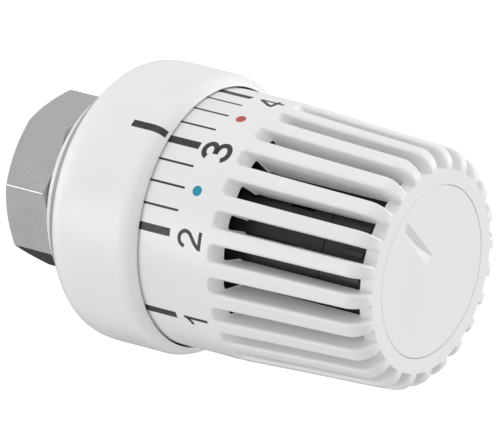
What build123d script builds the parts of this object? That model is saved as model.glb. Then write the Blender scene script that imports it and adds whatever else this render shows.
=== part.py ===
from build123d import *
import math
import os

os.makedirs("parts", exist_ok=True)

# Thermostatic radiator valve head, millimetres.
# +X runs from the valve body to the end cap, +Z points at the index mark.
# The origin is the centre of the seat face that closes on the valve body.

# ---- connection to the valve: M30 x 1.5 union nut ----
nut_across_flats = 32.0
nut_flats = 8
nut_turned = -3.0
nut_edge_r = 0.35
nut_mouth_x = -9.4
nut_front_x = 0.9
nut_end_x = 4.8
nut_collar_r = 15.9
thread_minor_r = 14.188
thread_start_x = -8.9
thread_end_x = -0.5
closing_x = 11.8

# ---- fixed base ----
neck_r = 12.6
neck_bore_r = 11.0
flange_r = 13.8
flange_t = 2.2
sleeve_r = 22.15
sleeve_bore_r = 19.6
sleeve_end_x = 34.5
disc_x = 9.3
disc_t = 2.2
ring_r = 27.42
ring_front_x = 28.8
ring_bore_r = 25.35

# ---- handwheel ----
wheel_r = 24.93
wheel_start_x = 22.5
wheel_end_x = 78.1
wheel_bore_r = 22.2
cavity_r = 19.0
slot_count = 24
slot_width = 3.2
slot_draft = 2.3
slot_start_x = 44.5
slot_foot_x = 46.4
slot_corner_r = 0.7
window_end_x = 75.25
plate_x = 74.4
notch_floor_r = 19.45
rib_edge_r = 0.55
cap_r = 16.5

# ---- dial travel, degrees about +X from the number 3 ----
dial_closed = -161.9
dial_open = 80.9
stop_gap = 0.6
lug_half_angle = 5.0

# ---- thermostat cage and sensor ----
cage_r = 17.9
cage_bore_r = 16.5
cage_start_x = 24.0
cage_split_x = 64.9
cage_end_x = 74.2
key_count = 3
key_width = 2.9
can_r = 15.8
can_start_x = 26.7
can_end_x = 54.0
pin_r = 2.5


def turned(points):
    """Solid of revolution about X from (x, radius) corners."""
    outline = make_face(Polyline(*[(x, r) for x, r in points], close=True))
    return revolve(outline, Axis.X, 360)


def ring_solid(x0, x1, r_in, r_out, edge=0.0):
    """Plain ring between two stations, optionally with broken outer edges."""
    if r_in > 0:
        corners = [(x0, r_in), (x0, r_out - edge), (x0 + edge, r_out),
                   (x1 - edge, r_out), (x1, r_out - edge), (x1, r_in)]
    else:
        corners = [(x0, 0), (x0, r_out - edge), (x0 + edge, r_out),
                   (x1 - edge, r_out), (x1, r_out - edge), (x1, 0)]
    if edge == 0:
        corners = [corners[0], corners[1], corners[4], corners[5]]
    return turned(corners)


def wedge(x0, x1, radius, from_deg, to_deg):
    """Sector block about X; angles are right-handed about +X and start at +Z."""
    steps = max(2, math.ceil(abs(to_deg - from_deg) / 20))
    rim = radius / math.cos(math.radians((to_deg - from_deg) / steps / 2))
    points = [(0, 0)]
    for i in range(steps + 1):
        a = math.radians(from_deg + (to_deg - from_deg) * i / steps)
        points.append((-rim * math.sin(a), rim * math.cos(a)))
    plane = Plane(origin=(x0, 0, 0), x_dir=(0, 1, 0), z_dir=(1, 0, 0))
    face = plane * make_face(Polyline(*points, close=True))
    return extrude(face, amount=x1 - x0, dir=(1, 0, 0))


def about_x(solid, degrees):
    return solid.rotate(Axis.X, degrees)


def radial_block(x0, x1, r0, r1, width):
    """Box that stands along +Z between two radii."""
    block = Box(x1 - x0, width, r1 - r0)
    return block.translate(((x0 + x1) / 2, 0, (r0 + r1) / 2))


def around(solid, count, start=0.0):
    return [about_x(solid, start + 360 * i / count) for i in range(count)]


def coil(x0, x1, mean_r, wire_r, turns):
    """Compression spring along X with its wire centre line between x0 and x1."""
    length = x1 - x0 - 2 * wire_r
    path = Helix(pitch=length / turns, height=length, radius=mean_r)
    section = Plane(path @ 0, z_dir=path % 0) * Circle(wire_r)
    spring = sweep(section, path=path)
    return spring.rotate(Axis.Y, 90).translate((x0 + wire_r, 0, 0))


nodes = {}

# ---- union nut: octagon with chamfered corners and a round collar ----
corner_r = nut_across_flats / 2 / math.cos(math.pi / nut_flats)
rear_edge_r = corner_r - (-8.5 - nut_mouth_x) / math.tan(math.radians(30))
nut_body = turned([
    (nut_mouth_x, 15.2), (nut_mouth_x, rear_edge_r), (-8.5, corner_r), (0.1, corner_r),
    (nut_front_x, 16.0), (nut_end_x - 0.4, nut_collar_r), (nut_end_x, nut_collar_r - 0.4),
    (nut_end_x, neck_r + 0.05), (2.3, neck_r + 0.05), (2.3, 14.6), (thread_end_x, 14.6),
    (thread_end_x, thread_minor_r), (thread_start_x, thread_minor_r), (nut_mouth_x, 14.7)])
flats = RegularPolygon(radius=corner_r, side_count=nut_flats, rotation=0)
nut_plane = Plane(origin=(nut_mouth_x - 1, 0, 0), x_dir=(0, 0, 1), z_dir=(1, 0, 0))
octagon = extrude(nut_plane * flats, amount=12.0, dir=(1, 0, 0))
octagon = about_x(fillet(octagon.edges().filter_by(Axis.X), nut_edge_r), nut_turned)
front_keep = ring_solid(nut_front_x - 0.01, nut_end_x + 1, 0, 20)
nodes["union_nut"] = nut_body & (octagon + front_keep)

# ---- base: metal neck, moulded socket, outer ring and rear cover ----
nodes["neck_bush"] = turned([
    (0, neck_bore_r + 0.4), (0, flange_r - 0.3), (0.3, flange_r), (flange_t, flange_r),
    (flange_t, neck_r), (5.2, neck_r), (5.2, 12.0), (6.4, 12.0), (6.4, neck_r), (7.5, neck_r),
    (7.5, 13.2), (9.5, 13.2), (9.5, 12.5), (11.0, 12.5), (11.0, 13.2), (14.0, 13.2),
    (14.0, neck_bore_r), (0.4, neck_bore_r)])

snap = ring_solid(5.25, 6.35, 12.05, 13.9, 0.2)
nodes["nut_snap_ring"] = snap - radial_block(5, 7, 10, 15, 3.0)
nodes["nut_slip_washer"] = ring_solid(4.85, 5.2, 12.7, 15.0)

socket = turned([
    (7.5, 13.25), (7.5, 15.2), (disc_x, 15.2), (disc_x, 23.8), (disc_x + disc_t, 23.8),
    (disc_x + disc_t, sleeve_r), (sleeve_end_x - 0.5, sleeve_r), (sleeve_end_x, sleeve_r - 0.5),
    (sleeve_end_x, sleeve_bore_r), (disc_x + disc_t, sleeve_bore_r), (disc_x + disc_t, 15.2),
    (16.5, 15.2), (16.5, 3.4), (14.05, 3.4), (14.05, 13.25)])
keyway = radial_block(20.5, sleeve_end_x + 1, 17, 20.75, key_width + 0.1)
for cut in around(keyway, key_count, 60):
    socket -= cut
rib = radial_block(disc_x + disc_t - 0.2, 16.5, 15.0, sleeve_bore_r + 0.3, 1.6)
for web in around(rib, 6, 30):
    socket += web

# stop block fills the part of the turn that the dial never uses
arc_from = dial_open + lug_half_angle + stop_gap
arc_to = 360 + dial_closed - lug_half_angle - stop_gap
stop_ring = turned([(11.4, 21.9), (11.4, 23.8), (11.6, 23.8), (13.1, 25.15), (18.2, 25.15),
                    (18.5, 24.85), (18.5, 22.6), (18.2, 22.4), (18.2, 21.9)])
socket += stop_ring & wedge(11, 19, 30, arc_from, arc_to)
pin_mid = (arc_from + arc_to) / 2
park_angles = {"limit_pin_low": pin_mid - 9, "limit_pin_high": pin_mid + 9}
for name, angle in park_angles.items():
    hole = Pos(0, 0, 23.7) * ring_solid(12.4, 19, 0, 0.9)
    socket -= about_x(hole, angle)
    pin = ring_solid(12.5, 18.55, 0, 0.87, 0.2) + ring_solid(18.52, 19.3, 0, 1.15, 0.2)
    nodes[name] = about_x(Pos(0, 0, 23.7) * pin, angle)
nodes["base_socket"] = socket

ring_outline = Polyline((6.7, 22.95), (6.7, 17.2), (9.25, 17.2), (9.25, 23.9), (11.6, 23.9),
                        (13.0, ring_bore_r), (ring_front_x, ring_bore_r))
ring_nose = ThreePointArc((ring_front_x, ring_bore_r), (28.55, 25.85), (28.1, 26.3))
ring_bevel = Spline((28.1, 26.3), (27.5, 26.85), (26.6, 27.2), (25.4, 27.36),
                    tangents=[(-0.7, 0.7), (-1, 0.03)])
ring_wall = Line((25.4, 27.36), (15.2, 27.42))
ring_rear = Spline((15.2, 27.42), (13.0, 27.3), (11.5, 27.0), (10.3, 26.45), (8.8, 25.2),
                   (6.7, 22.95), tangents=[(-1, 0), (-0.68, -0.73)])
nodes["base_ring"] = revolve(
    make_face([ring_outline, ring_nose, ring_bevel, ring_wall, ring_rear]), Axis.X, 360)

cover_outline = Polyline((6.55, 22.6), (6.55, 17.15), (9.2, 17.15), (9.2, 16.2), (6.2, 16.2),
                         (5.9, 16.9), (3.5, 16.9), (3.2, 17.2), (3.2, 19.2))
cover_lip = ThreePointArc((3.2, 19.2), (3.33, 19.68), (3.7, 20.1))
cover_cone = ThreePointArc((3.7, 20.1), (5.2, 21.5), (6.55, 22.6))
nodes["base_rear_cover"] = revolve(
    make_face([cover_outline, cover_lip, cover_cone]), Axis.X, 360)

# ---- handwheel: one sector with its slot, then repeated round the axis ----
profile = Polyline((wheel_start_x, wheel_bore_r), (wheel_start_x, wheel_r - 0.5),
                   (wheel_start_x + 0.5, wheel_r), (ring_front_x, wheel_r), (36.5, 24.9))
shoulder = Spline((36.5, 24.9), (44.5, 24.83), (55.5, 24.25), (64.5, 23.8), (74.2, 23.3),
                  tangents=[(1, -0.003), (1, -0.055)])
corner = Spline((74.2, 23.3), (76.9, 22.15), (wheel_end_x, 19.6),
                tangents=[(1, -0.055), (0, -1)])
inside = Polyline((wheel_end_x, 19.6), (wheel_end_x, cap_r + 0.08), (76.65, cap_r + 0.08),
                  (76.65, 15.6), (75.8, 15.6), (75.8, 6.0), (plate_x, 6.0), (plate_x, 17.5),
                  (window_end_x, 18.5), (window_end_x, cavity_r), (50.5, cavity_r),
                  (48.4, 19.6), (slot_foot_x + 0.35, wheel_bore_r),
                  (wheel_start_x, wheel_bore_r))
shell = revolve(make_face([profile, shoulder, corner, inside]), Axis.X, 360)

pitch = 360 / slot_count
sector = shell & wedge(slot_start_x - 4, 80, 40, -pitch / 2, pitch / 2)
tool_base_r = 18.3
narrowing = (wheel_r - tool_base_r) * math.tan(math.radians(slot_draft))
foot_width = slot_width - 2 * narrowing
slot_plan = Plane(origin=(62, 0, tool_base_r))
slot_tool = extrude(slot_plan * Rectangle(44, foot_width), amount=8, dir=(0, 0, 1),
                    taper=-slot_draft)
# the start of each slot slopes in from the rim to the bore
slope = (slot_foot_x - slot_start_x) / (24.83 - wheel_bore_r)
ramp = Plane.XZ * make_face(Polyline((30, 28), (slot_start_x - slope * (28 - 24.83), 28),
                                     (slot_start_x + slope * (24.83 - 17), 17), (30, 17),
                                     close=True))
slot_tool -= extrude(ramp, amount=4, both=True)
ramp_corners = []
for edge in slot_tool.edges():
    run = edge.tangent_at(0.5)
    if edge.center().X < 52 and abs(edge.center().Y) > 1 and abs(run.X) > 0.3 and abs(run.Z) > 0.3:
        ramp_corners.append(edge)
slot_tool = fillet(ramp_corners, slot_corner_r)
slot_tool -= radial_block(window_end_x, 86, 15, notch_floor_r, 6)
sector -= slot_tool
outer_edges = []
for edge in sector.edges():
    middle = edge.center()
    inside_x = slot_start_x - 0.3 < middle.X < wheel_end_x - 0.01
    at_wall = abs(middle.Y) < slot_width / 2 + 0.15
    radius = math.hypot(middle.Y, middle.Z)
    outermost = radius > (24.3 if middle.X < 50 else 21.5)
    if inside_x and at_wall and outermost and abs(edge.tangent_at(0.5).Z) < 0.9:
        outer_edges.append(edge)
sector = fillet(outer_edges, rib_edge_r)
rim = shell & ring_solid(wheel_start_x - 1, slot_start_x - 4, 0, 40)
wheel = rim
for piece in around(sector, slot_count):
    wheel += piece

# stop lug that runs in the gap between sleeve and ring
lug_ring = turned([(16.0, 22.4), (16.0, 24.3), (16.3, 24.6), (23.0, 24.6), (23.0, 22.4)])
wheel += lug_ring & wedge(15, 24, 30, -lug_half_angle, lug_half_angle)
nodes["handwheel"] = wheel

# ---- end cap disc with the pointer recess ----
cap = turned([(76.7, 0), (76.7, cap_r - 0.2), (76.9, cap_r), (wheel_end_x - 0.15, cap_r),
              (wheel_end_x, cap_r - 0.15), (wheel_end_x, 0)])


def scoop_section(z, left, right, valley, depth):
    """Three-cornered cut across the pointer recess: left and right lip, valley between."""
    top = wheel_end_x + 0.02
    return Face(Wire.make_polygon([(top, left, z), (top, right, z),
                                   (wheel_end_x - depth, valley, z)], close=True))


scoop = loft([
    scoop_section(14.75, 0.2, 0.74, 0.4, 0.08),
    scoop_section(14.0, -0.75, 0.82, -0.1, 0.75),
    scoop_section(11.6, -1.2, 1.07, -0.05, 0.95),
    scoop_section(9.0, -0.98, 1.35, 0.3, 0.9),
    scoop_section(6.5, -0.76, 1.62, 0.8, 0.72),
    scoop_section(4.2, -0.6, 1.88, 1.35, 0.42),
    scoop_section(2.1, -0.5, 2.13, 1.95, 0.06)])
nodes["end_cap"] = cap - scoop

# ---- thermostat cage, keyed in the sleeve ----
cage = turned([
    (cage_start_x, 8.0), (cage_start_x, 19.15), (cage_start_x + 0.4, sleeve_bore_r - 0.05),
    (33.0, sleeve_bore_r - 0.05), (33.4, cage_r), (cage_split_x, cage_r),
    (cage_split_x, cage_bore_r), (cage_start_x + 2.5, cage_bore_r), (cage_start_x + 2.5, 8.0)])
key = radial_block(cage_start_x, 32.0, 19.0, 20.6, key_width)
for part in around(key, key_count, 60):
    cage += part
window = radial_block(46.0, 61.0, 15, 22, 2.4)
for cut in around(window, 12, 7.5):
    cage -= cut
nodes["cage_body"] = cage

top = turned([
    (cage_split_x + 0.15, cage_bore_r), (cage_split_x + 0.15, cage_r), (cage_end_x, cage_r),
    (cage_end_x, 5.95), (75.9, 5.95), (75.9, 3.0), (76.55, 3.0), (76.55, 0), (71.8, 0),
    (71.8, cage_bore_r)])
spline_tooth = radial_block(69.6, cage_end_x - 0.2, 17.7, 18.35, 1.1)
for tooth in around(spline_tooth, 48):
    top += tooth
nodes["cage_cap"] = top
clip = ring_solid(75.95, 76.45, 3.02, 8.5)
for cut in around(radial_block(75, 77, 4.6, 9, 1.4), 6):
    clip -= cut
nodes["retaining_clip"] = clip
nodes["overtravel_spring"] = coil(55.3, 71.7, 9.0, 0.8, 5.5)

# ---- liquid-filled sensor ----
nodes["sensor_can"] = turned([
    (can_start_x, 15.0), (can_start_x, can_r), (can_end_x - 1.6, can_r), (can_end_x - 0.45, 15.3),
    (can_end_x, 14.2), (can_end_x, 1.45), (can_end_x - 0.8, 1.45), (can_end_x - 0.8, 13.9),
    (can_end_x - 1.9, 15.0)])
nodes["can_closure"] = ring_solid(can_start_x, 28.7, 4.1, 14.95)
nodes["guide_bush"] = turned([
    (24.5, pin_r + 0.05), (24.5, 4.05), (28.75, 4.05), (28.75, 5.2), (30.5, 5.2),
    (30.5, pin_r + 0.05)])
nodes["fill_stub"] = turned([
    (52.6, 0), (52.6, 2.2), (53.15, 2.2), (53.15, 1.4), (56.8, 1.4), (57.8, 0.8), (57.8, 0)])
nodes["spring_cup"] = turned([
    (54.05, 2.0), (54.05, 11.5), (57.0, 11.5), (57.0, 10.6), (55.2, 10.6), (55.2, 2.0)])

bellows_start = 28.75
bellows_end = 43.95
folds = 9
fold = (bellows_end - bellows_start) / folds
outer = []
inner = []
for i in range(folds):
    x = bellows_start + i * fold
    outer += [(x, 7.4), (x + 0.25 * fold, 7.4), (x + 0.5 * fold, 11.2), (x + 0.75 * fold, 11.2)]
    inner += [(x, 7.05), (x + 0.4 * fold, 7.05), (x + 0.62 * fold, 10.85),
              (x + 0.66 * fold, 10.85)]
outer.append((bellows_end, 7.4))
inner.append((bellows_end, 7.05))
nodes["bellows"] = turned(outer + inner[::-1])
nodes["return_spring"] = coil(30.6, 43.9, 6.1, 0.45, 6)

# ---- pressure pin ----
nodes["bellows_head"] = turned([
    (44.0, pin_r), (44.0, 9.0), (44.3, 9.3), (45.4, 9.3), (45.7, 9.0), (45.7, 0), (44.6, 0),
    (44.6, pin_r)])
nodes["pressure_pin"] = ring_solid(13.0, 44.55, 0, pin_r - 0.02, 0.3)
nodes["pin_button"] = turned([
    (closing_x, 0), (closing_x, 2.6), (closing_x + 0.6, 3.2), (18.5, 3.2), (18.5, pin_r),
    (12.95, pin_r), (12.95, 0)])

for name, solid in nodes.items():
    solid.label = name
    export_step(solid, f"parts/{name}.step")
    box = solid.bounding_box()
    print(f"{name:18s} {solid.volume:9.1f} {box.min.X:7.2f} {box.max.X:7.2f} {box.max.Z:6.2f}")
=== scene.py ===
import math

import bmesh
import bpy
from mathutils import Matrix, Vector
from mathutils.bvhtree import BVHTree


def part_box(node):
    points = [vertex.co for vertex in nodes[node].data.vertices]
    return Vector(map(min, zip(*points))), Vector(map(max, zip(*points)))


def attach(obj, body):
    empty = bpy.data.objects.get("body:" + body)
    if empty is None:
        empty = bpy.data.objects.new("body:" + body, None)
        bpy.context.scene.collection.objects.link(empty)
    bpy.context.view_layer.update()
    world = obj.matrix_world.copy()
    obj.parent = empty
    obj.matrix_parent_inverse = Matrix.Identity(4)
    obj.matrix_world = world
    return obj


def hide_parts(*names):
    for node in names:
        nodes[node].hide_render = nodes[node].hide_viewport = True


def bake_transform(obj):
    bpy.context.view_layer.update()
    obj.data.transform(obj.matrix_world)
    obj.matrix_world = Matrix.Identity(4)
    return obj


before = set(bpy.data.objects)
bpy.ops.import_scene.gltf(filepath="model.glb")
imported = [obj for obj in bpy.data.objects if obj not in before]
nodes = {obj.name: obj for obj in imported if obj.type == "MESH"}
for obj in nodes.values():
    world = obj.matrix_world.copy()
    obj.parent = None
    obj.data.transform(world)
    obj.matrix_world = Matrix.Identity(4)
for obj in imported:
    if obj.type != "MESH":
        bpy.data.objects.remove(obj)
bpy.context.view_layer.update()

MM = 0.001


def box_mm(name):
    low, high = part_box(name)
    return low / MM, high / MM


# ---------------------------------------------------------------- materials
def new_material(name):
    mat = bpy.data.materials.new(name)
    mat.use_nodes = True
    tree = mat.node_tree
    shader = tree.nodes["Principled BSDF"]
    return mat, tree, shader


def link(tree, a, b):
    tree.links.new(a, b)


def noise(tree, coords, scale, detail=4.0, rough=0.5, stretch=None):
    source = coords
    if stretch is not None:
        mapping = tree.nodes.new("ShaderNodeMapping")
        mapping.inputs["Scale"].default_value = stretch
        link(tree, coords, mapping.inputs["Vector"])
        source = mapping.outputs["Vector"]
    node = tree.nodes.new("ShaderNodeTexNoise")
    node.inputs["Scale"].default_value = scale
    node.inputs["Detail"].default_value = detail
    node.inputs["Roughness"].default_value = rough
    link(tree, source, node.inputs["Vector"])
    return node.outputs["Fac"]


def spread(tree, value, low, high, from_low=0.3, from_high=0.7):
    node = tree.nodes.new("ShaderNodeMapRange")
    node.inputs["From Min"].default_value = from_low
    node.inputs["From Max"].default_value = from_high
    node.inputs["To Min"].default_value = low
    node.inputs["To Max"].default_value = high
    link(tree, value, node.inputs["Value"])
    return node.outputs["Result"]


def two_tone(tree, value, dark, light):
    ramp = tree.nodes.new("ShaderNodeValToRGB")
    ramp.color_ramp.elements[0].position = 0.3
    ramp.color_ramp.elements[0].color = (*dark, 1)
    ramp.color_ramp.elements[1].position = 0.7
    ramp.color_ramp.elements[1].color = (*light, 1)
    link(tree, value, ramp.inputs["Fac"])
    return ramp.outputs["Color"]


def bump(tree, shader, height, distance, strength=1.0, round_edges=0.0):
    node = tree.nodes.new("ShaderNodeBump")
    node.inputs["Strength"].default_value = strength
    node.inputs["Distance"].default_value = distance
    link(tree, height, node.inputs["Height"])
    if round_edges:
        edge = tree.nodes.new("ShaderNodeBevel")
        edge.samples = 6
        edge.inputs["Radius"].default_value = round_edges
        link(tree, edge.outputs["Normal"], node.inputs["Normal"])
    link(tree, node.outputs["Normal"], shader.inputs["Normal"])


def object_coords(tree):
    return tree.nodes.new("ShaderNodeTexCoord").outputs["Object"]


def plastic(name, dark, light, rough, grain=9000, grain_depth=2e-6, clear=0.0, milky=0.0, edge=0.0):
    """Moulded plastic: slow tone drift, fine spark-eroded grain, faint flow marks along the axis."""
    mat, tree, shader = new_material(name)
    here = object_coords(tree)
    drift = noise(tree, here, 60, 3)
    link(tree, two_tone(tree, drift, dark, light), shader.inputs["Base Color"])
    flow = noise(tree, here, 260, 5, 0.6, (0.25, 1, 1))
    link(tree, spread(tree, flow, rough - 0.04, rough + 0.05), shader.inputs["Roughness"])
    bump(tree, shader, noise(tree, here, grain, 2), grain_depth, 0.35, edge)
    shader.inputs["IOR"].default_value = 1.5
    if clear:
        shader.inputs["Coat Weight"].default_value = clear
        shader.inputs["Coat Roughness"].default_value = 0.12
    if milky:
        shader.inputs["Subsurface Weight"].default_value = milky
        shader.inputs["Subsurface Radius"].default_value = (0.0012, 0.0011, 0.001)
        shader.inputs["Subsurface Scale"].default_value = 1.0
    return mat


def painted_joint_shade(mat, plain_r, shaded_r, tone):
    """Painted shade: tone falls to grey from one radius about the axis to another, beside a joint line,
    standing in for the shadow there.
    """
    tree = mat.node_tree
    shader = tree.nodes["Principled BSDF"]
    plain = shader.inputs["Base Color"].links[0].from_socket
    across = tree.nodes.new("ShaderNodeVectorMath")
    across.operation = "MULTIPLY"
    across.inputs[1].default_value = (0, 1, 1)
    link(tree, object_coords(tree), across.inputs[0])
    radius = tree.nodes.new("ShaderNodeVectorMath")
    radius.operation = "LENGTH"
    link(tree, across.outputs["Vector"], radius.inputs[0])
    mix = tree.nodes.new("ShaderNodeMix")
    mix.data_type = "RGBA"
    link(tree, spread(tree, radius.outputs["Value"], 0, 1, plain_r, shaded_r), mix.inputs["Factor"])
    link(tree, plain, mix.inputs[6])
    mix.inputs[7].default_value = (*tone, 1)
    link(tree, mix.outputs[2], shader.inputs["Base Color"])
    return mat


def metal(name, dark, light, rough, grain=(1, 1, 1), scale=1500, depth=1.5e-6, edge=0.0):
    """Machined or drawn metal: tarnish drift plus fine marks stretched along the working direction."""
    mat, tree, shader = new_material(name)
    here = object_coords(tree)
    drift = noise(tree, here, 130, 4)
    link(tree, two_tone(tree, drift, dark, light), shader.inputs["Base Color"])
    marks = noise(tree, here, scale, 5, 0.65, grain)
    link(tree, spread(tree, marks, rough - 0.06, rough + 0.08), shader.inputs["Roughness"])
    shader.inputs["Metallic"].default_value = 1.0
    bump(tree, shader, marks, depth, 0.4, edge)
    return mat


WHITE = ((0.835, 0.835, 0.828), (0.86, 0.86, 0.853))
white = plastic("white_plastic", *WHITE, 0.36, milky=0.06)
# painted shade: the rear cover and the ring are greyed on both sides of the joint between them, standing in
# for the shadow in the gap
cover_white_painted_shade = painted_joint_shade(plastic("cover_white_plastic_painted_shade", *WHITE, 0.3),
                        21.6 * MM, 22.0 * MM, (0.27, 0.27, 0.27))
# painted shade: the ring goes grey towards its rear edge, inside 24.7 mm radius, as shadow beside the joint
ring_white_painted_shade = painted_joint_shade(plastic("ring_white_plastic_painted_shade", *WHITE, 0.36, milky=0.06),
                       25.4 * MM, 24.7 * MM, (0.3, 0.3, 0.3))
white_inner = plastic("white_inner_plastic", (0.74, 0.74, 0.725), (0.79, 0.79, 0.775), 0.5, edge=0.00015)
black = plastic("black_plastic", (0.03, 0.03, 0.032), (0.05, 0.05, 0.052), 0.5, grain_depth=4e-6, edge=0.00015)
acetal = plastic("acetal", (0.7, 0.69, 0.65), (0.77, 0.76, 0.72), 0.4, edge=0.0001)
blue_plastic = plastic("blue_plastic", (0.012, 0.22, 0.34), (0.016, 0.27, 0.4), 0.4, edge=0.0001)
red_plastic = plastic("red_plastic", (0.38, 0.035, 0.03), (0.46, 0.05, 0.045), 0.4, edge=0.0001)
nickel = metal("nickel", (0.53, 0.53, 0.525), (0.59, 0.59, 0.585), 0.27, (0.12, 1, 1), 2600, edge=0.00022)
steel = metal("spring_steel", (0.38, 0.38, 0.39), (0.5, 0.5, 0.5), 0.33, (1, 1, 1), 2200)
pin_steel = metal("pin_steel", (0.6, 0.6, 0.6), (0.68, 0.68, 0.68), 0.22, (0.1, 1, 1), 2500, edge=0.0001)
can_metal = metal("can_metal", (0.5, 0.5, 0.51), (0.6, 0.6, 0.61), 0.38, (6, 1, 1), 900, edge=0.0001)
bellows_metal = metal("bellows_metal", (0.6, 0.45, 0.22), (0.72, 0.57, 0.32), 0.28, (4, 1, 1), 900)
lacquer = plastic("black_lacquer", (0.025, 0.025, 0.026), (0.04, 0.04, 0.041), 0.42, edge=0.0001)
copper = metal("copper", (0.62, 0.32, 0.2), (0.74, 0.42, 0.28), 0.3, (1, 1, 1), 1200)

finish = {
    "union_nut": nickel, "neck_bush": nickel, "nut_snap_ring": steel, "nut_slip_washer": acetal,
    "base_socket": white_inner, "base_ring": ring_white_painted_shade, "base_rear_cover": cover_white_painted_shade,
    "limit_pin_low": blue_plastic, "limit_pin_high": red_plastic,
    "handwheel": white, "end_cap": white, "cage_body": black, "cage_cap": black,
    "retaining_clip": steel, "overtravel_spring": steel, "spring_cup": steel,
    "sensor_can": lacquer, "can_closure": can_metal, "fill_stub": copper, "guide_bush": acetal,
    "bellows": bellows_metal, "return_spring": steel, "bellows_head": bellows_metal,
    "pressure_pin": pin_steel, "pin_button": acetal,
}
for name, mat in finish.items():
    slots = nodes[name].data.materials
    if not slots:
        slots.append(mat)
    for i in range(len(slots)):
        slots[i] = mat


def ink(name, dark, light, rough=0.45):
    """Printed ink: slightly uneven coverage and a faintly uneven sheen."""
    mat, tree, shader = new_material(name)
    here = object_coords(tree)
    cover = noise(tree, here, 900, 4)
    link(tree, two_tone(tree, cover, dark, light), shader.inputs["Base Color"])
    link(tree, spread(tree, noise(tree, here, 2500, 2), rough - 0.05, rough + 0.08),
         shader.inputs["Roughness"])
    bump(tree, shader, noise(tree, here, 6000, 2), 1.5e-6, 0.3)
    return mat


black_ink = ink("black_ink", (0.02, 0.02, 0.022), (0.034, 0.034, 0.036))
blue_ink = ink("blue_ink", (0.012, 0.25, 0.38), (0.016, 0.3, 0.44))
red_ink = ink("red_ink", (0.43, 0.06, 0.06), (0.52, 0.085, 0.085))


# ---------------------------------------------------------------- union nut with its real thread
PITCH = 1.5
MINOR_R = 14.188
MAJOR_R = 15.03
CREST, FLANK, ROOT_FLAT = 0.25, 0.3125, 0.125
MOUTH_X = -9.4
THREAD_END_X = -0.5
MOUTH_R = 14.7
RELIEF_R = 14.6


def thread_radius(x, turn):
    """Internal M30 x 1.5 profile: narrow crest at the minor radius, 60 degree flanks."""
    phase = (x / PITCH - turn) % 1.0
    if phase < CREST:
        r = MINOR_R
    elif phase < CREST + FLANK:
        r = MINOR_R + (MAJOR_R - MINOR_R) * (phase - CREST) / FLANK
    elif phase < CREST + FLANK + ROOT_FLAT:
        r = MAJOR_R
    else:
        r = MAJOR_R - (MAJOR_R - MINOR_R) * (phase - CREST - FLANK - ROOT_FLAT) / FLANK
    lead_in = MOUTH_R - (x - MOUTH_X) * 1.024
    run_in = MOUTH_R + (x - MOUTH_X)
    run_out = RELIEF_R + (THREAD_END_X - x) * 0.6
    run_up = RELIEF_R - (THREAD_END_X - x) * 1.6
    return min(max(r, lead_in, run_up), run_in, run_out)


def threaded_nut():
    """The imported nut's own faces, with the plain bore exchanged for the helical thread."""
    bm = bmesh.new()
    bm.from_mesh(nodes["union_nut"].data)
    inside_r = (MOUTH_R + 0.04) * MM
    bore_end_x = (THREAD_END_X + 0.02) * MM
    bore = []
    for face in bm.faces:
        inside = all(math.hypot(v.co.y, v.co.z) < inside_r for v in face.verts)
        if inside and all(v.co.x < bore_end_x for v in face.verts):
            bore.append(face)
    bmesh.ops.delete(bm, geom=bore, context="FACES")
    steps = 180
    turns = math.ceil((THREAD_END_X - MOUTH_X) / PITCH) + 1
    breaks = (0.0, 0.125, 0.25, 0.354, 0.458, 0.5625, 0.6875, 0.792, 0.896)
    rings = []
    for i in range(steps):
        turn = i / steps
        a = 2 * math.pi * turn
        column = []
        for k in range(-turns, turns):
            for b in breaks:
                x = MOUTH_X + (k + b + turn) * PITCH + (-MOUTH_X % PITCH)
                x = min(max(x, MOUTH_X), THREAD_END_X)
                r = thread_radius(x, turn)
                column.append(bm.verts.new(Vector((x, -r * math.sin(a), r * math.cos(a))) * MM))
        rings.append(column)
    shift = len(breaks)
    for i in range(steps):
        here = rings[i]
        after = rings[(i + 1) % steps]
        step = 0 if i + 1 < steps else shift
        for j in range(len(here) - 1 - step):
            bm.faces.new((here[j], here[j + 1], after[j + 1 + step], after[j + step]))
    bmesh.ops.remove_doubles(bm, verts=[v for column in rings for v in column], dist=1e-7)
    bmesh.ops.dissolve_degenerate(bm, dist=1e-7, edges=bm.edges)
    for face in bm.faces:
        face.smooth = True
    mesh = bpy.data.meshes.new("union_nut_threaded")
    bm.to_mesh(mesh)
    bm.free()
    mesh.materials.clear()
    mesh.materials.append(nickel)
    nut = bpy.data.objects.new("union_nut_threaded", mesh)
    bpy.context.scene.collection.objects.link(nut)
    mesh.set_sharp_from_angle(angle=math.radians(18))
    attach(nut, "nut")
    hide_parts("union_nut")


threaded_nut()


# ---------------------------------------------------------------- springs and bellows as plain copies
def flexing(node):
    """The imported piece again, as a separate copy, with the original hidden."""
    mesh = nodes[node].data.copy()
    piece = bpy.data.objects.new(node + "_flexing", mesh)
    bpy.context.scene.collection.objects.link(piece)
    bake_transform(piece)
    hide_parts(node)


flexing("overtravel_spring")
flexing("bellows")
flexing("return_spring")


# ---------------------------------------------------------------- printed marks
def surface_of(name):
    mesh = nodes[name].data
    corners = [v.co / MM for v in mesh.vertices]
    return BVHTree.FromPolygons(corners, [tuple(p.vertices) for p in mesh.polygons])


dial_skin = surface_of("handwheel")
ring_skin = surface_of("base_ring")
INK = 0.018  # height of the ink film above the skin
ROOT = 0.03  # depth of its underside below the skin
RAY_START_R = 40


def on_skin(skin, x, angle, lift):
    """Point above the skin at station x and angle (degrees about +X from +Z)."""
    a = math.radians(angle)
    out = Vector((0, -math.sin(a), math.cos(a)))
    hit, normal, _, _ = skin.ray_cast(Vector((x, 0, 0)) + out * RAY_START_R, -out)
    if normal.dot(out) < 0:
        normal = -normal
    return hit + normal * lift


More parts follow.
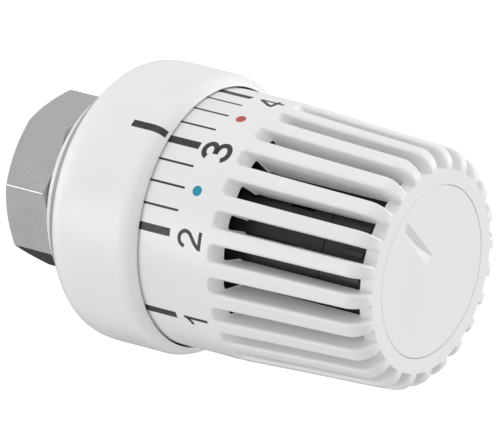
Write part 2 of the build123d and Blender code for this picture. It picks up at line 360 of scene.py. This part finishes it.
def print_patch(name, skin, grids, material, body):
    """Ink film: each grid is rows of (x, angle) points laid on the skin as a thin closed solid."""
    bm = bmesh.new()
    for rows in grids:
        top = [[bm.verts.new(on_skin(skin, x, a, INK) * MM) for x, a in row] for row in rows]
        low = [[bm.verts.new(on_skin(skin, x, a, -ROOT) * MM) for x, a in row] for row in rows]
        m = len(rows)
        n = len(rows[0])
        for i in range(m - 1):
            for j in range(n - 1):
                bm.faces.new((top[i][j], top[i + 1][j], top[i + 1][j + 1], top[i][j + 1]))
                bm.faces.new((low[i][j], low[i][j + 1], low[i + 1][j + 1], low[i + 1][j]))
        for i in range(m - 1):
            bm.faces.new((top[i][0], low[i][0], low[i + 1][0], top[i + 1][0]))
            bm.faces.new((top[i][-1], top[i + 1][-1], low[i + 1][-1], low[i][-1]))
        for j in range(n - 1):
            bm.faces.new((top[0][j], top[0][j + 1], low[0][j + 1], low[0][j]))
            bm.faces.new((top[-1][j], low[-1][j], low[-1][j + 1], top[-1][j + 1]))
    bmesh.ops.recalc_face_normals(bm, faces=bm.faces)
    mesh = bpy.data.meshes.new(name)
    bm.to_mesh(mesh)
    bm.free()
    mesh.materials.append(material)
    obj = bpy.data.objects.new(name, mesh)
    bpy.context.scene.collection.objects.link(obj)
    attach(obj, body)


def bar_grid(x0, x1, angle, width, radius, step=0.25):
    """Straight mark along the axis."""
    across = max(2, math.ceil(width / 0.3)) + 1
    along = math.ceil((x1 - x0) / step) + 1
    half = math.degrees(width / 2 / radius)
    rows = []
    for i in range(along):
        x = x0 + (x1 - x0) * i / (along - 1)
        rows.append([(x, angle - half + 2 * half * j / (across - 1)) for j in range(across)])
    return rows


def stroke_grid(path, width, place, across=4):
    """Ribbon of constant width with square ends along a path of (right, up) points."""
    rows = []
    last = len(path) - 1
    for i, p in enumerate(path):
        before = path[max(i - 1, 0)]
        after = path[min(i + 1, last)]
        if 0 < i < last:
            d0 = (Vector(p) - Vector(before)).normalized()
            d1 = (Vector(after) - Vector(p)).normalized()
            run = (d0 + d1).normalized()
            side = Vector((-run.y, run.x)) / max(0.5, run.dot(d1))
        else:
            run = (Vector(after) - Vector(before)).normalized()
            side = Vector((-run.y, run.x))
        row = []
        for j in range(across + 1):
            q = Vector(p) + side * width * (j / across - 0.5)
            row.append(place(q.x, q.y))
        rows.append(row)
    return rows


def arc(cx, cy, rx, ry, start, end, count=28):
    """Points on an ellipse; angles in degrees, anticlockwise from the right."""
    points = []
    for i in range(count + 1):
        a = math.radians(start + (end - start) * i / count)
        points.append((cx + rx * math.cos(a), cy + ry * math.sin(a)))
    return points


def line(*corners, step=0.05):
    """Straight runs between corners, divided finely enough to wrap on the dial."""
    points = [corners[0]]
    for a, b in zip(corners, corners[1:]):
        length = math.dist(a, b)
        count = max(1, math.ceil(length / step))
        for i in range(1, count + 1):
            points.append((a[0] + (b[0] - a[0]) * i / count, a[1] + (b[1] - a[1]) * i / count))
    return points


# strokes of each figure in units of the figure height, baseline 0, cap line 1
WEIGHT = 0.135
H = WEIGHT / 2  # half a stroke
figures = {
    "0": [arc(0, 0.5, 0.27, 0.5 - H, 90, 450, 48)],
    "1": [line((0.1, 0), (0.1, 1)), line((0.06, 0.86), (-0.1, 0.73), (-0.22, 0.715))],
    "2": [arc(0, 0.685, 0.262, 0.315 - H, 178, -28)
          + line((0.19, 0.5), (-0.13, 0.26), (-0.235, 0.13), (-0.262, H + 0.02)),
          line((-0.33, H), (0.33, H))],
    "3": [arc(-0.005, 0.735, 0.235, 0.265 - H, 172, -90)
          + line((-0.06, 0.53), (-0.1, 0.53)),
          arc(0, 0.285, 0.268, 0.285 - H, -170, 90)
          + line((-0.06, 0.505), (-0.1, 0.505))],
    "4": [line((0.14, 0), (0.14, 1)), line((0.1, 0.92), (-0.285, 0.33)),
          line((-0.33, 0.285), (0.33, 0.285))],
    "5": [line((0.28, 1 - H), (-0.2, 1 - H)), line((-0.155, 0.97), (-0.235, 0.44)),
          arc(0, 0.315, 0.27, 0.315 - H, 140, -165)],
}
frost = []
for k in range(6):
    a = math.radians(30 + 60 * k)
    c, s = math.cos(a), math.sin(a)
    frost.append(line((0.02 * c, 0.5 + 0.02 * s), (0.46 * c, 0.5 + 0.46 * s)))
    for side in (-1, 1):
        b = a + side * math.radians(52)
        frost.append(line((0.26 * c, 0.5 + 0.26 * s),
                          (0.26 * c + 0.15 * math.cos(b), 0.5 + 0.26 * s + 0.15 * math.sin(b))))
figures["frost"] = frost

DIAL_R = 24.9
STEP = 40.47  # degrees between neighbouring figures
REST = 3  # the setting under the index bar at rest
LONG_MARK_END_X = 35.6
SHORT_MARK_END_X = 36.5
DOT_X = 39.35
FIGURE_X = 40.1
FIGURE_H = 5.35
dial_root = box_mm("base_ring")[1].x - 0.6  # marks run on under the ring


def dial_angle(value):
    return -(value - REST) * STEP


def figure_grids(figure, angle, weight=WEIGHT, height=FIGURE_H, lean=0.0):
    """Figure standing with its foot towards the cap; the foot line is shared by all sizes."""
    foot = FIGURE_X + FIGURE_H / 2

    def place(right, up):
        return foot - up * height, angle - math.degrees((right * height + lean) / DIAL_R)
    return [stroke_grid(path, weight, place) for path in figures[figure]]


dial_marks = []
for value in (1, 2, 3, 4, 5, -1, 0):
    dial_marks.append(bar_grid(dial_root, LONG_MARK_END_X, dial_angle(value), 1.55, DIAL_R))
for value in (2.25, 2.5, 2.75, 3.25, 3.5, 3.75):
    dial_marks.append(bar_grid(dial_root, SHORT_MARK_END_X, dial_angle(value), 0.42, DIAL_R))
print_patch("dial_division_marks", dial_skin, dial_marks, black_ink, "dial")

for value, figure in ((1, "1"), (2, "2"), (4, "4"), (5, "5"), (-1, "0")):
    print_patch("dial_figure_" + figure, dial_skin,
                figure_grids(figure, dial_angle(value), lean=-0.35), black_ink, "dial")
print_patch("dial_figure_3", dial_skin,
            figure_grids("3", dial_angle(3), 0.165, 6.25, lean=-0.3), black_ink, "dial")
print_patch("dial_frost_sign", dial_skin, figure_grids("frost", dial_angle(0), 0.075),
            black_ink, "dial")


def dot_grid(x, angle, radius):
    """Round dot as rings of points from its centre outwards."""
    rows = []
    for i in range(7):
        r = max(0.001, radius * i / 6)
        row = []
        for j in range(37):
            a = math.radians(10 * j)
            row.append((x + r * math.cos(a), angle + math.degrees(r * math.sin(a) / DIAL_R)))
        rows.append(row)
    return rows


print_patch("dial_dot_low", dial_skin, [dot_grid(DOT_X, dial_angle(2.5), 1.0)], blue_ink, "dial")
print_patch("dial_dot_high", dial_skin, [dot_grid(DOT_X, dial_angle(3.5), 1.0)], red_ink, "dial")

index_bar = bar_grid(21.1, 28.45, 0, 1.5, 27.4, 0.12)
print_patch("ring_index_bar", ring_skin, [index_bar], black_ink, "base")


# ---------------------------------------------------------------- stage
def turned_view(vector):
    """The studio was set up square to the floor; the head lies turned about its own axis."""
    return Matrix.Rotation(math.radians(-35.9), 4, "X") @ Vector(vector)


def stage_plane(name, half, dark, light, grain):
    """Flat matt square of the studio; it is not part of the object."""
    mesh = bpy.data.meshes.new(name)
    mesh.from_pydata([(-half, -half, 0), (half, -half, 0), (half, half, 0), (-half, half, 0)],
                     [], [(0, 1, 2, 3)])
    plane = bpy.data.objects.new(name, mesh)
    bpy.context.scene.collection.objects.link(plane)
    mat, tree, shader = new_material(name)
    tone = noise(tree, object_coords(tree), grain, 2)
    link(tree, two_tone(tree, tone, (dark,) * 3, (light,) * 3), shader.inputs["Base Color"])
    shader.inputs["Roughness"].default_value = 0.9
    mesh.materials.append(mat)
    plane.visible_diffuse = False
    return plane, shader


# the floor fills the picture behind the head and gives it no light
floor, floor_shader = stage_plane("floor", 9, 0.55, 0.6, 2)
floor.location = (0.03, 0, -1.0)
floor.visible_glossy = False
floor_shader.inputs["Specular IOR Level"].default_value = 0.0
floor_shader.inputs["Emission Color"].default_value = (1, 1, 1, 1)
floor_shader.inputs["Emission Strength"].default_value = 0.62

# black flag: seen only in reflections, it darkens the underside of the metal nut
flag, flag_shader = stage_plane("flag", 0.25, 0.01, 0.02, 8)
flag_aim = turned_view((-0.545, 0.603, -0.582)).normalized()
flag.location = flag_aim * 0.45
flag.rotation_euler = flag_aim.to_track_quat("Z", "Y").to_euler()
flag.visible_camera = False
flag.visible_shadow = False

scene = bpy.context.scene
scene.view_settings.view_transform = "Standard"
world = bpy.data.worlds.new("studio")
world.use_nodes = True
scene.world = world
SURROUND_LIGHT = 0.686
sky = world.node_tree.nodes["Background"]
sky.inputs["Color"].default_value = (1, 1, 1, 1)
# the backdrop is white to the eye and soft grey as a light
seen = world.node_tree.nodes.new("ShaderNodeLightPath")
level = spread(world.node_tree, seen.outputs["Is Camera Ray"], SURROUND_LIGHT, 1.0, 0, 1)
link(world.node_tree, level, sky.inputs["Strength"])

focus = Vector((0.0365, 0, 0))


def soft_light(name, direction, distance, size, power):
    """Square-on area light; direction is from the head in the studio's own frame."""
    data = bpy.data.lights.new(name, "AREA")
    data.shape = "RECTANGLE"
    data.size, data.size_y = size
    data.energy = power
    lamp = bpy.data.objects.new(name, data)
    aim = turned_view(direction).normalized()
    lamp.location = focus + aim * distance
    lamp.rotation_euler = aim.to_track_quat("Z", "Y").to_euler()
    bpy.context.scene.collection.objects.link(lamp)


soft_light("overhead", (0, 0, 1), 1.1, (1.2, 1.2), 3.3)
soft_light("front_left", (-0.545, -0.838, -0.014), 1.3, (0.5, 0.5), 3.2)
soft_light("left", (-1, -0.15, 0.1), 1.3, (0.6, 1.0), 2.3)
soft_light("back_right", (0.8, 1.1, 0.3), 1.3, (1.0, 1.0), 7.2)

# long lens, square to the picture plane, nudged by the lens shift
view_azimuth = math.radians(35.63)
view_elevation = math.radians(20.76)
view_distance = 1.2
toward_camera = Vector((math.sin(view_azimuth) * math.cos(view_elevation),
                        -math.cos(view_azimuth) * math.cos(view_elevation),
                        math.sin(view_elevation)))
right = Vector((math.cos(view_azimuth), math.sin(view_azimuth), 0))
up = toward_camera.cross(right)
camera_data = bpy.data.cameras.new("camera")
camera_data.lens = 457
camera_data.sensor_width = 36
camera_data.shift_x = 0.0008
camera_data.shift_y = 0.0061
camera_data.clip_start = 0.05
camera_data.clip_end = 30
camera = bpy.data.objects.new("camera", camera_data)
axes = Matrix((turned_view(right), turned_view(up), turned_view(toward_camera))).transposed()
station = focus + turned_view(toward_camera) * view_distance
camera.matrix_world = Matrix.Translation(station) @ axes.to_4x4()
bpy.context.scene.collection.objects.link(camera)
scene.camera = camera

bpy.context.view_layer.update()
